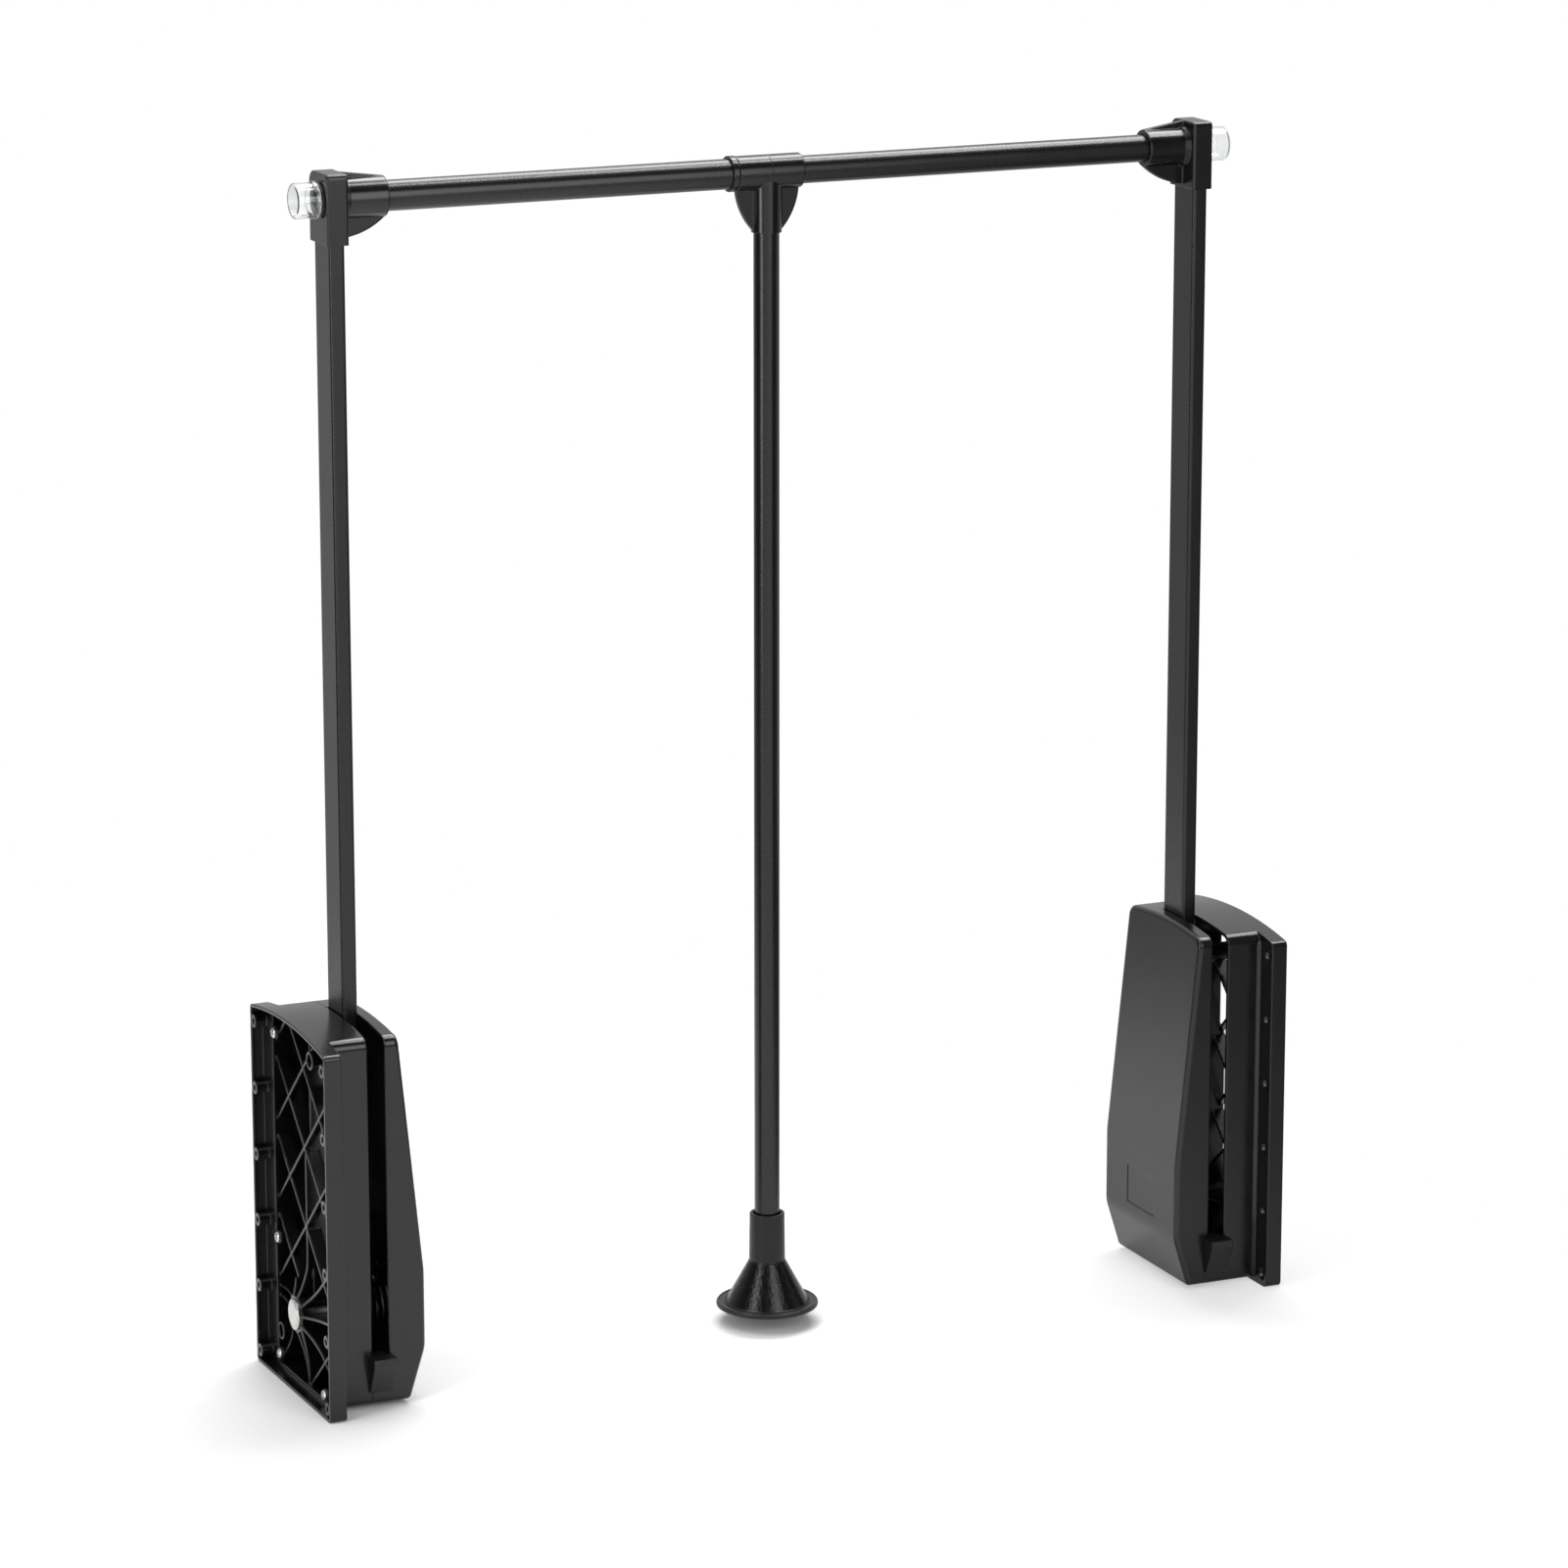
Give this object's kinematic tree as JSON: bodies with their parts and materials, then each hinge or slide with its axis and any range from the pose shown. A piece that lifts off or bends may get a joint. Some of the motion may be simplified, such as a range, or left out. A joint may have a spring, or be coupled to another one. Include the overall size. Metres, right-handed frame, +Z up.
{
  "type": "pull-down wardrobe rail",
  "caption": "Pull-down wardrobe rail: sprung arms swing from wall housings and lower a telescopic hanging rail with a bell-grip pull rod.",
  "frame": {"origin": "on the floor, under the middle of the overall box", "axes": "+X from left to right housing, -Y towards the user, +Z up"},
  "size_m": [0.736, 0.15, 0.8464],
  "materials": {
    "housing_plastic": "moulded, satin",
    "fitting_plastic": "moulded, semi-gloss",
    "grip_plastic": "fine grain",
    "coated_steel": "satin powder coat",
    "foot_casting": "die cast",
    "zinc_steel": "zinc plated",
    "spring_steel": "oiled wire",
    "nylon": "plain",
    "clear_plastic": "clear"
  },
  "bodies": {
    "left_housing": {"left_base": "housing_plastic", "left_cover": "housing_plastic", "left_stop_block": "housing_plastic", "left_pivot_axle": "zinc_steel", "left_axle_clip": "zinc_steel", "left_thrust_washers": "nylon", "left_torsion_spring": "spring_steel", "left_case_screws": "zinc_steel"},
    "left_arm": {"left_arm_tube": "coated_steel", "left_arm_foot": "foot_casting", "left_foot_rivets": "zinc_steel", "left_pivot_bush": "nylon", "left_rail_connector": "fitting_plastic", "left_connector_screw": "zinc_steel", "left_bumper_cap": "clear_plastic", "rail_outer_tube": "coated_steel", "rail_stop_ring": "fitting_plastic"},
    "right_arm": {"right_arm_tube": "coated_steel", "right_arm_foot": "foot_casting", "right_foot_rivets": "zinc_steel", "right_pivot_bush": "nylon", "right_rail_connector": "fitting_plastic", "right_connector_screw": "zinc_steel", "right_bumper_cap": "clear_plastic", "rail_inner_tube": "coated_steel"},
    "right_housing": {"right_base": "housing_plastic", "right_cover": "housing_plastic", "right_stop_block": "housing_plastic", "right_pivot_axle": "zinc_steel", "right_axle_clip": "zinc_steel", "right_thrust_washers": "nylon", "right_torsion_spring": "spring_steel", "right_case_screws": "zinc_steel"},
    "handle": {"handle_tee": "fitting_plastic", "handle_rod": "coated_steel", "handle_grip": "grip_plastic", "handle_screws": "zinc_steel"}
  },
  "joints": [
    {"name": "arm_swing", "type": "hinge", "parent": "left_housing", "child": "left_arm", "pos_m": [-0.324, 0.008, 0.053], "axis": [1, 0, 0], "range_deg": [0, 90], "stiffness_Nm_per_rad": 25, "springref_deg": -20.05, "deforming": ["left_torsion_spring"]},
    {"name": "width_adjust", "type": "slide", "parent": "left_arm", "child": "right_arm", "axis": [1, 0, 0], "range_m": [-0.136, 0.094]},
    {"name": "right_arm_swing", "type": "hinge", "parent": "right_arm", "child": "right_housing", "pos_m": [0.324, 0.008, 0.053], "axis": [1, 0, 0], "range_deg": [-90, 0], "deforming": ["right_torsion_spring"]},
    {"name": "handle_swing", "type": "hinge", "parent": "left_arm", "child": "handle", "pos_m": [-0.005, 0.008, 0.828], "axis": [1, 0, 0], "continuous": true}
  ],
  "couplings": [
    {"joint": "right_arm_swing", "follows": "arm_swing", "ratio": -1}
  ]
}
